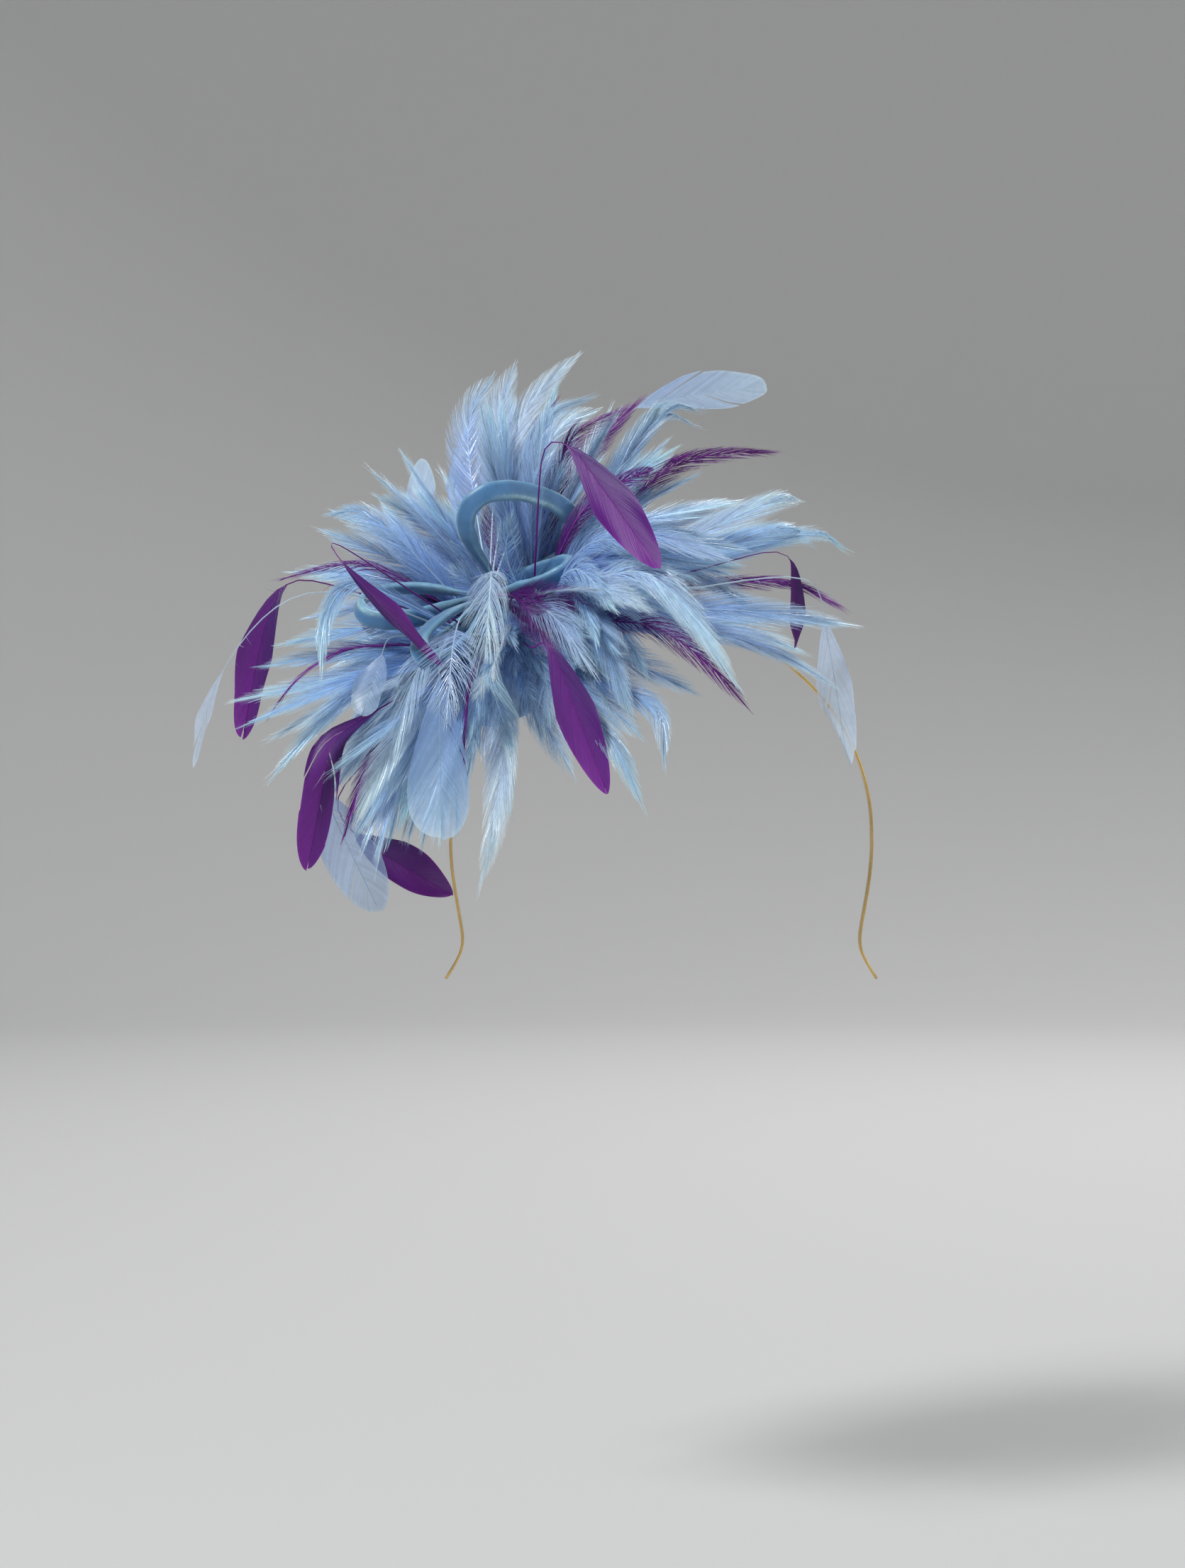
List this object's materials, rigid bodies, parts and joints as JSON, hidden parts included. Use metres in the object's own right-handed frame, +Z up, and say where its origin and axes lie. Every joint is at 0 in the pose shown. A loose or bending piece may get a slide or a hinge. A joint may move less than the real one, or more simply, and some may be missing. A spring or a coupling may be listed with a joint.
{
  "type": "feather fascinator on a headband",
  "caption": "Feather fascinator: a burst of blue and purple feathers round satin loops, on a slim metal headband.",
  "frame": {"origin": "underside of the band at the top of its arch, where it touches the crown of the head", "axes": "+Z up, the wearer faces -Y, +X towards the wearer's left; the band's arch lies in the XZ plane"},
  "size_m": [0.2443, 0.1619, 0.2203],
  "materials": {
    "gold_metal": "polished",
    "covered_base": "matte",
    "blue_satin": "satin",
    "blue_feather": "soft sheen",
    "purple_feather": "soft sheen"
  },
  "bodies": {
    "root": {"base_pad": "covered_base", "blue_hackles_1": "blue_feather", "blue_hackles_2": "blue_feather", "blue_hackles_3": "blue_feather", "blue_hackles_4": "blue_feather", "blue_hackles_5": "blue_feather", "blue_hackles_6": "blue_feather", "blue_leaf_back": "blue_feather", "blue_leaf_brow": "blue_feather", "blue_leaf_crown": "blue_feather", "blue_leaf_far_left": "blue_feather", "blue_leaf_far_right": "blue_feather", "blue_leaf_low": "blue_feather", "blue_leaf_spoon": "blue_feather", "blue_leaf_top": "blue_feather", "core_stem": "blue_feather", "headband": "gold_metal", "purple_hackle_back": "purple_feather", "purple_hackle_brow": "purple_feather", "purple_hackle_crown": "purple_feather", "purple_hackle_down": "purple_feather", "purple_hackle_far": "purple_feather", "purple_hackle_left": "purple_feather", "purple_hackle_low": "purple_feather", "purple_hackle_right": "purple_feather", "purple_hackle_side": "purple_feather", "purple_leaf_back": "purple_feather", "purple_leaf_brow": "purple_feather", "purple_leaf_front": "purple_feather", "purple_leaf_left": "purple_feather", "purple_leaf_low": "purple_feather", "purple_leaf_right": "purple_feather", "purple_leaf_side": "purple_feather", "satin_loop_crown": "blue_satin", "satin_loop_far_right": "blue_satin", "satin_loop_front_left": "blue_satin", "satin_loop_left": "blue_satin", "satin_loop_low_left": "blue_satin", "satin_loop_low_right": "blue_satin", "satin_loop_right": "blue_satin", "satin_loop_top": "blue_satin"}
  },
  "joints": []
}
